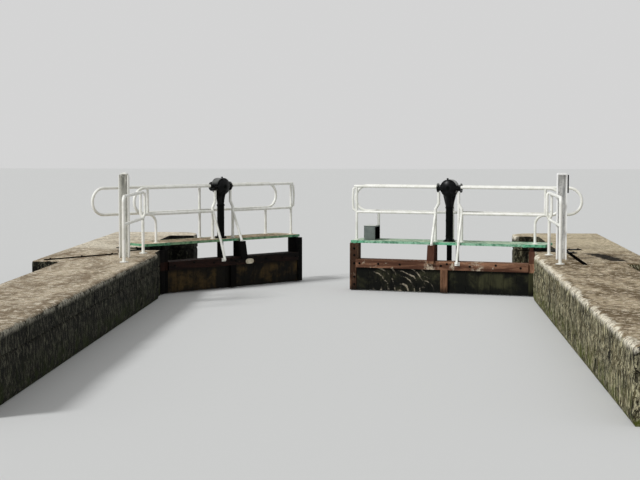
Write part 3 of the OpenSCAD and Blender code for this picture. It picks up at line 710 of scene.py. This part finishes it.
def wearAt(p, sign):
    # at a point of the row frame: broad and fine noise, and how much of the chamber's edge is bitten off
    broad = noise.fractal(p * 5.0, 0.9, 2.0, 4)
    fine = noise.fractal(p * 17.0, 0.8, 2.0, 3)
    edge = Vector((abs(p.x) - lock["faceX"], 0, p.z - lock["copingTop"]))
    close = max(0.0, 1 - edge.length / 0.13)
    bite = max(0.0, noise.fractal(Vector((0.3, p.y * 2.3, sign * 7.0)), 0.9, 2.0, 4) + 0.25)
    return broad, fine, close * bite


def roughen(bm, side, amount, notch):
    # moves the points inwards only, and leaves the foot and the joint below the coping alone
    bmesh.ops.recalc_face_normals(bm, faces=bm.faces)
    bm.normal_update()
    sign = sides[side]
    for v in bm.verts:
        if v.co.z < 0.012:
            continue
        broad, fine, bite = wearAt(v.co, sign)
        calm = min(1.0, abs(v.co.z - lock["copingUnder"]) / 0.04)
        v.co -= v.normal * (amount * (0.55 + 0.45 * broad) + amount * 0.45 * abs(fine)) * 0.9 * calm
        v.co.x += sign * bite * notch
        v.co.z -= bite * notch * 0.55


def remeshed(node, grid):
    # an even mesh of a stone node, ready to be roughened
    obj = nodes[node].copy()
    obj.data = nodes[node].data.copy()
    obj.parent = None
    bpy.context.scene.collection.objects.link(obj)
    mod = obj.modifiers.new("even", "REMESH")
    mod.mode = "VOXEL"
    mod.voxel_size = grid
    got = obj.evaluated_get(bpy.context.evaluated_depsgraph_get())
    bm = bmesh.new()
    bm.from_mesh(got.to_mesh())
    got.to_mesh_clear()
    bpy.data.objects.remove(obj)
    return bm


def slabProfile():
    # closed loop round a coping slab in x and z, x = 0 at its rounded front edge
    x0, x1 = -stone["slabDeep"], 0.0
    z0, z1 = lock["copingUnder"], lock["copingTop"]
    r = stone["frontRadius"]
    step = stone["slabStep"]
    points = [(x0 + i * step, z1) for i in range(int((x1 - x0 - r) / step) + 1)]
    for i in range(7):
        a = math.radians(90 - i * 15)
        points.append((x1 - r + r * math.cos(a), z1 - r + r * math.sin(a)))
    n = int((z1 - r - z0) / step)
    points += [(x1, z1 - r - (i + 1) * (z1 - r - z0) / (n + 1)) for i in range(n)]
    points += [(x1, z0), ((x0 + x1) / 2, z0), (x0, z0), (x0, (z0 + z1) / 2)]
    return points


def slabRing(bm, sign, profile, y, inset):
    # one ring of points across a slab, drawn in at the front and top by the inset
    ring = []
    for x, z in profile:
        inX = inset if x > -0.04 else 0
        inZ = inset if z > 0.6 else 0
        ring.append(bm.verts.new((sign * (lock["faceX"] - x + inX), y, z - inZ)))
    return ring


def chamberCoping(side):
    # separate coping slabs along the chamber
    low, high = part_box(side + "_chamber_coping")
    pitch = (high.y - low.y + stone["slabGap"]) / stone["slabs"]
    long = pitch - stone["slabGap"]
    steps = int(long / stone["slabStep"])
    profile = slabProfile()
    bm = bmesh.new()
    for k in range(stone["slabs"]):
        start = low.y + k * pitch
        rings = []
        for j in range(steps + 1):
            inset = stone["endInset"] if j in (0, steps) else 0.0
            rings.append(slabRing(bm, sides[side], profile, start + j * long / steps, inset))
        for a, b in zip(rings, rings[1:]):
            for i in range(len(profile)):
                j = (i + 1) % len(profile)
                bm.faces.new((a[i], a[j], b[j], b[i]))
        bm.faces.new(rings[0])
        bm.faces.new(rings[-1])
    roughen(bm, side, stone["copingRough"], stone["notch"][side])
    obj = newPiece(side + "ChamberCoping", bm, "lock_walls", finishes[side + "Stone"], 50)
    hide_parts(side + "_chamber_coping")


for side in sides:
    chamberCoping(side)
    for part, (grid, rough, slotName) in stoneParts.items():
        bm = remeshed(side + "_" + part, stone[grid])
        roughen(bm, side, stone[rough], stone["notch"][side] if "coping" in part else 0.0)
        pieceName = side + "".join(w.title() for w in part.split("_")) + "Stone"
        obj = newPiece(pieceName, bm, "lock_walls", finishes[side + "Stone"], 60)
        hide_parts(side + "_" + part)
print("stone made")

gear = {
    "shaftZ": 1.52, "shaftHalf": 0.198,
    "caseRadius": 0.124, "caseHalf": 0.073, "splitHalf": 0.181, "domeOut": 0.115,
    "flange": {"x": 0.148, "y": 0.065, "z": 0.018, "bolt": 0.008},          # bolts through the split flange
    "cover": {"ring": 0.107, "front": 0.0835, "bolt": 0.0065},              # ring of bolts round each cover
    "cap": {"inner": 0.018, "outer": 0.025, "high": 0.009, "ring": 0.053, "bolt": 0.0065},     # bearing caps
    "boss": {"radius": 0.03, "top": 0.026, "high": 0.006, "bolt": 0.009},   # in the middle of the domed cover
    "cup": {"x": 0.03, "radius": 0.014, "high": 0.018, "lid": 0.017, "lidHigh": 0.007},     # on the case
    "sleeve": {"y": -0.048, "z": 0.01, "inner": 0.0193, "outer": 0.0245, "long": 0.08},     # on a tube's end
    "stud": {"ring": 0.073, "up": 0.024, "bolt": 0.0085},                   # nuts on the column's base
    "band": {"up": (0.07, 0.3), "inner": 0.05, "outer": 0.0575, "high": 0.012},     # raised, on the column
    "square": {"half": 0.0105, "long": 0.02, "bevel": 0.0012},
}


def gearTrim(side):
    place = leafFrame(side) @ Matrix.Translation((leaf["gearX"], leaf["gearY"], gear["shaftZ"]))
    deckZ = leaf["deckTop"] - gear["shaftZ"]
    bm = bmesh.new()
    flange = gear["flange"]
    for x in (-flange["x"], flange["x"]):
        for y in (-flange["y"], flange["y"]):
            for s in (1, -1):
                addBolt(bm, (x, y, s * flange["z"]), (0, 0, s), flange["bolt"], place)
    cover = gear["cover"]
    turns = [i * 45 + 22.5 for i in range(8)]
    addBolts(bm, (0, -cover["front"], 0), (0, -1, 0), cover["ring"], turns, cover["bolt"], place)
    addBolts(bm, (0, gear["caseHalf"], 0), (0, 1, 0), cover["ring"], turns, cover["bolt"], place)
    cap = gear["cap"]
    for s in (-1, 1):
        end = (s * gear["splitHalf"], 0, 0)
        addRing(bm, end, (s, 0, 0), cap["inner"], cap["outer"], cap["high"], place)
        addBolts(bm, end, (s, 0, 0), cap["ring"], (-90, 0, 90), cap["bolt"], place)
    boss = gear["boss"]
    dome = -gear["domeOut"]
    addRound(bm, (0, dome + 0.001, 0), (0, -1, 0), boss["radius"], boss["high"], place, 28, boss["top"])
    addBolt(bm, (0, dome - 0.004, 0), (0, -1, 0), boss["bolt"], place)
    cup = gear["cup"]
    foot = (cup["x"], 0, gear["caseRadius"] - 0.008)
    lid = (cup["x"], 0, gear["caseRadius"] + 0.01)
    addRound(bm, foot, (0, 0, 1), cup["radius"], cup["high"], place, 20, cup["radius"] - 0.002)
    addRound(bm, lid, (0, 0, 1), cup["lid"], cup["lidHigh"], place, 20, cup["lid"] - 0.003)
    if side == "left":              # black sleeve on the end of the bank's top tube
        sleeve = gear["sleeve"]
        start = (-gear["splitHalf"] - 0.0005, sleeve["y"], sleeve["z"])
        addRing(bm, start, (-1, 0, 0), sleeve["inner"], sleeve["outer"], sleeve["long"], place)
    stud = gear["stud"]
    turns = [i * 90 + 45 for i in range(4)]
    addBolts(bm, (0, 0, deckZ + stud["up"]), (0, 0, 1), stud["ring"], turns, stud["bolt"], place)
    band = gear["band"]
    for up in band["up"]:
        addRing(bm, (0, 0, deckZ + up), (0, 0, 1), band["inner"], band["outer"], band["high"], place)
    newPiece(side + "GearTrim", bm, side + "_leaf", finishes["iron"])
    bm = bmesh.new()                # squared ends that take the winding handle
    square = gear["square"]
    half = square["half"]
    for s in (-1, 1):
        end = Matrix.Translation((s * (gear["shaftHalf"] - 0.0005), 0, 0))
        turn = Matrix.Rotation(math.radians(s * 90), 4, "Y")
        addBox(bm, (-half, -half, 0), (half, half, square["long"]), place @ end @ turn, square["bevel"])
    newPiece(side + "ShaftSquares", bm, side + "_shaft", finishes["shaft"])


deck = {
    "front": -0.039, "back": 0.476, "heelPlate": 0.24, "seatHalf": 0.12, "endPlate": 0.2,
    "pitch": 0.0322, "bar": 0.003, "deep": 0.022,               # bars along the leaf
    "crossPitch": 0.05, "crossBar": 0.0035, "crossDeep": 0.006,
}


def deckBars(side):
    # fine bars between the deck's main grating bars, on either side of the gear's seat
    place = leafFrame(side)
    gearX = leaf["gearX"]
    top = leaf["deckTop"]
    front, back = deck["front"], deck["back"]
    spans = ((deck["heelPlate"], gearX - deck["seatHalf"]),
             (gearX + deck["seatHalf"], leaf["deckEnd"] - deck["endPlate"]))
    bm = bmesh.new()
    count = int((back - front) / deck["pitch"])
    for k in range(1, count):
        y = front + k * (back - front) / count
        for a, b in spans:
            addBox(bm, (a, y, top - deck["deep"]), (b, y + deck["bar"], top - 0.0005), place)
    for a, b in spans:
        n = int((b - a) / deck["crossPitch"])
        for k in range(1, n):
            x = a + k * (b - a) / n
            addBox(bm, (x, front, top - deck["crossDeep"]), (x + deck["crossBar"], back, top - 0.0004), place)
    newPiece(side + "DeckBars", bm, side + "_leaf", finishes[side + "Deck"], 0)


railFeet = {
    "front": {"left": (0.11, 1.187, 1.583, 2.795), "right": (0.11, 1.187, 1.235, 1.583, 2.795)},
    "back": {"left": (1.21, 2.56), "right": (1.41, 2.56)},
    "frontY": 0.11, "backY": 0.445, "ring": 0.0285, "up": 0.008, "screw": 0.0045,
}


def railScrews(side):
    # three screws in each rail foot
    place = leafFrame(side)
    feet = [(x, railFeet["frontY"]) for x in railFeet["front"][side]]
    feet += [(x, railFeet["backY"]) for x in railFeet["back"][side]]
    bm = bmesh.new()
    for x, y in feet:
        foot = (x, y, leaf["deckTop"] + railFeet["up"])
        addBolts(bm, foot, (0, 0, 1), railFeet["ring"], (90, 210, 330), railFeet["screw"], place)
    newPiece(side + "RailScrews", bm, side + "_leaf", finishes["white"])


irons = {
    "railBolts": (0.26, 0.62, 1.0, 1.34, 1.43, 2.05, 2.38, 2.67),
    "raised": (0.62, 1.34), "rise": 0.028,          # those of them above the rail's middle
    "postX": 2.76, "postFace": 0.11, "postBolts": (0.09, 0.2, 0.4, 0.52, 0.62),
    "bolt": 0.011,
    "straps": ((0.2, 0.46), (2.44, 2.71)),          # on the upstream face, from end to end
    "strapHalf": 0.03, "strapThick": 0.007, "strapBolt": 0.01, "strapEnd": 0.04,
}


def timberIron(side):
    # coach bolts and straps of the leaf's timbers
    place = leafFrame(side)
    bm = bmesh.new()
    middle = (leaf["railTop"] + leaf["railUnder"]) / 2
    for x in irons["railBolts"]:
        rise = irons["rise"] if x in irons["raised"] else 0
        addBolt(bm, (x, -leaf["railFace"], middle + rise), (0, -1, 0), irons["bolt"], place)
    for z in irons["postBolts"]:
        addBolt(bm, (irons["postX"], -irons["postFace"], z), (0, -1, 0), irons["bolt"], place)
    half = irons["strapHalf"]
    outer = leaf["railBack"] + irons["strapThick"]
    for x0, x1 in irons["straps"]:
        addBox(bm, (x0, leaf["railBack"], middle - half), (x1, outer, middle + half), place, 0.002)
        for x in (x0 + irons["strapEnd"], (x0 + x1) / 2, x1 - irons["strapEnd"]):
            addBolt(bm, (x, outer, middle), (0, 1, 0), irons["strapBolt"], place)
    newPiece(side + "TimberIron", bm, side + "_leaf", finishes["iron"])


oval = {
    "along": 1.705, "height": 0.386, "half": (0.078, 0.039), "square": 0.72, "thick": 0.0042, "rim": 0.007,
    "screwX": 0.058, "screw": 0.005, "steps": 48,
}


def ovalPlate():
    # oval plate on the left leaf's top rail, with a raised rim and two screws
    place = leafFrame("left") @ Matrix.Translation((oval["along"], -leaf["railFace"], oval["height"]))
    a, b = oval["half"]
    steps = oval["steps"]
    thick = oval["thick"]
    sunk = thick * 0.6

    def swell(v):
        return math.copysign(abs(v) ** oval["square"], v)

    bm = bmesh.new()
    loops = []
    for shrink, out in ((0, 0), (0, thick), (oval["rim"], thick), (oval["rim"], sunk)):
        turns = [math.tau * (i + 0.5) / steps for i in range(steps)]
        points = [((a - shrink) * swell(math.cos(t)), -out, (b - shrink) * swell(math.sin(t))) for t in turns]
        loops.append([bm.verts.new(place @ Vector(p)) for p in points])
    for low, high in zip(loops, loops[1:]):
        for i in range(steps):
            j = (i + 1) % steps
            bm.faces.new((low[i], low[j], high[j], high[i]))
    bm.faces.new(loops[0])
    bm.faces.new(loops[-1])
    for x in (-oval["screwX"], oval["screwX"]):
        addRound(bm, (x, -sunk, 0), (0, -1, 0), oval["screw"], 0.0015, place, 16, oval["screw"] * 0.8)
    obj = newPiece("leftOvalPlate", bm, "left_leaf", finishes["plate"])
    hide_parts("left_plate")


ovalPlate()
for side in sides:
    gearTrim(side)
    deckBars(side)
    railScrews(side)
    timberIron(side)
print("leaf trim made")

bank = {
    "guardFeet": ((-0.2, -0.2), (-0.2, -1.65)), "footRing": 0.043, "footUp": 0.008, "footScrew": 0.006,
    "postX": {"left": 0.33, "right": 0.292}, "postY": -0.855, "postBolts": (0.12, 0.55, 0.98),
    "postHalf": 0.03, "postBolt": 0.008,
    "pivot": (-0.16, 0.55), "barTurns": (160, 225), "barTop": 0.012,
    "barBolts": (0.3, 0.44, 0.58), "barBolt": 0.011,
}
straps = {      # iron straps on the coping, from end to end in the row frame
    "left": ((-3.14, 1.98), (-3.9, 0.96)), "right": ((3.11, 2.95), (3.11, 0.6)),
    "half": 0.025, "thick": 0.01, "under": 0.004, "bolts": 3, "fromEnd": 0.09, "bolt": 0.011,
}


def bankTrim(side):
    # screws of the guard rail's feet, bolts of the tall post, bolts of the anchor bars
    place = bankFrame(side)
    top = lock["copingTop"]
    bm = bmesh.new()
    for x, y in bank["guardFeet"]:
        foot = (x, y, top + bank["footUp"])
        addBolts(bm, foot, (0, 0, 1), bank["footRing"], (45, 135, 225, 315), bank["footScrew"], place)
    newPiece(side + "GuardScrews", bm, "lock_walls", finishes["white"])
    bm = bmesh.new()
    for z in bank["postBolts"]:
        for s in (-1, 1):
            spot = (-bank["postX"][side] + s * bank["postHalf"], bank["postY"], top + z)
            addBolt(bm, spot, (0, -1, 0), bank["postBolt"], place)
    newPiece(side + "PostBolts", bm, "lock_walls", finishes[side + "PostSteel"])
    bm = bmesh.new()
    pivot = Matrix.Translation((*bank["pivot"], top))
    for a in bank["barTurns"]:
        turn = place @ pivot @ Matrix.Rotation(math.radians(a), 4, "Z")
        for x in bank["barBolts"]:
            addBolt(bm, (x, 0, bank["barTop"]), (0, 0, 1), bank["barBolt"], turn)
    newPiece(side + "AnchorBolts", bm, "lock_walls", finishes["iron"])


def copingStrap(side):
    a, b = (Vector((*end, lock["copingTop"])) for end in straps[side])
    run = b - a
    place = Matrix.Translation(a) @ run.to_track_quat("X", "Z").to_matrix().to_4x4()
    half = straps["half"]
    bm = bmesh.new()
    addBox(bm, (0, -half, -straps["under"]), (run.length, half, straps["thick"]), place, 0.002)
    pitch = (run.length - 2 * straps["fromEnd"]) / (straps["bolts"] - 1)
    for k in range(straps["bolts"]):
        addBolt(bm, (straps["fromEnd"] + k * pitch, 0, straps["thick"]), (0, 0, 1), straps["bolt"], place)
    newPiece(side + "CopingStrap", bm, "lock_walls", finishes["strap"])


for side in sides:
    bankTrim(side)
    copingStrap(side)

box = {
    "corner": (2.502, 0.0803, 0.735), "size": (0.17, 0.24, 0.206),
    "frame": 0.012, "doorUnder": 0.014, "doorThick": 0.004,
    "hinges": (0.05, 0.155), "hingeRadius": 0.005, "hingeLong": 0.03,
    "lock": (0.03, 0.11), "lockRadius": 0.009, "lockOut": 0.006,
    "ventThick": 0.003, "slats": 9, "slatFrom": 0.03, "slatPitch": 0.018, "slatTilt": 35,
    "slatHalf": (0.005, 0.1, 0.0015),
}


def boxTrim():
    # door, hinges, lock and black louvres of the box on the right leaf; the louvres' black stands for the
    # painted shade on the box's side
    place = leafFrame("right")
    x0, y0, z0 = box["corner"]
    x1, y1, z1 = (c + d for c, d in zip(box["corner"], box["size"]))
    edge = box["frame"]
    bm = bmesh.new()
    doorLow = (x0 + edge, y0 - box["doorThick"], z0 + box["doorUnder"])
    addBox(bm, doorLow, (x1 - edge, y0, z1 - edge), place, 0.0015)
    for z in box["hinges"]:
        pin = (x1 - 0.008, y0 - 0.005, z0 + z)
        addRound(bm, pin, (0, 0, 1), box["hingeRadius"], box["hingeLong"], place, 14)
    lockAt = (x0 + box["lock"][0], y0 - box["doorThick"], z0 + box["lock"][1])
    addRound(bm, lockAt, (0, -1, 0), box["lockRadius"], box["lockOut"], place, 20)
    newPiece("rightBoxDoor", bm, "right_leaf", finishes["box"])
    # black vent panel and louvres on the box's side: painted shade
    bm = bmesh.new()
    addBox(bm, (x0 - box["ventThick"], y0 + edge, z0 + edge), (x0, y1 - edge, z1 - edge), place, 0.001)
    half = Vector(box["slatHalf"])
    for k in range(box["slats"]):
        z = z0 + box["slatFrom"] + k * box["slatPitch"]
        tilt = Matrix.Rotation(math.radians(box["slatTilt"]), 4, "Y")
        addBox(bm, -half, half, place @ Matrix.Translation((x0 - 0.004, (y0 + y1) / 2, z)) @ tilt)
    newPiece("rightBoxLouvres", bm, "right_leaf", finishes["boxDark"])


boxTrim()
print("bank and box trim made")

studio = {
    "floor": tint(206, 207, 206), "floorHalf": 60, "floorAt": (0, 20, -0.001),
    "backdrop": 0.66,
    "skyLight": 0.5,
    "keyEnergy": 2.3,
    "keyTurn": (math.radians(50), 0, math.radians(-54)),
    "keySoft": math.radians(12),
}
view = {
    "lens": 84.375, "sensor": 36, "clipEnd": 300,
    "place": (0.77, -18.49, 2.31),
    "turn": (math.radians(85.94), 0, math.radians(3.08)),
}

bm = bmesh.new()
bmesh.ops.create_grid(bm, x_segments=1, y_segments=1, size=studio["floorHalf"])
floorMesh = bpy.data.meshes.new("floor")
bm.to_mesh(floorMesh)
bm.free()
floor = bpy.data.objects.new("floor", floorMesh)
floor.location = studio["floorAt"]
bpy.context.scene.collection.objects.link(floor)
floorMat, tree, shader = startFinish("paleFloor", 0.9)
shader.inputs["Base Color"].default_value = studio["floor"]
dress(floor, floorMat)

# the backdrop is seen brighter than it lights the object
world = bpy.data.worlds.new("studio")
bpy.context.scene.world = world
world.use_nodes = True
tree = world.node_tree
background = tree.nodes["Background"]
paths = tree.nodes.new("ShaderNodeLightPath")
seen = sums(tree, "MAXIMUM", paths.outputs["Is Camera Ray"], paths.outputs["Is Glossy Ray"])
seen = sums(tree, "MAXIMUM", seen, paths.outputs["Is Transmission Ray"])
level = tree.nodes.new("ShaderNodeMapRange")
tree.links.new(seen, level.inputs["Value"])
level.inputs["To Min"].default_value = studio["skyLight"]
level.inputs["To Max"].default_value = studio["backdrop"]
tree.links.new(level.outputs["Result"], background.inputs["Strength"])
background.inputs["Color"].default_value = (1, 1, 1, 1)

sun = bpy.data.lights.new("key", "SUN")
sun.energy = studio["keyEnergy"]
sun.angle = studio["keySoft"]
sunObj = bpy.data.objects.new("key", sun)
sunObj.rotation_euler = studio["keyTurn"]
bpy.context.scene.collection.objects.link(sunObj)

camera = bpy.data.cameras.new("camera")
camera.lens = view["lens"]
camera.sensor_width = view["sensor"]
camera.clip_end = view["clipEnd"]
cameraObj = bpy.data.objects.new("camera", camera)
cameraObj.location = view["place"]
cameraObj.rotation_euler = view["turn"]
bpy.context.scene.collection.objects.link(cameraObj)
bpy.context.scene.camera = cameraObj
bpy.context.scene.view_settings.view_transform = "Standard"

print("scene done")
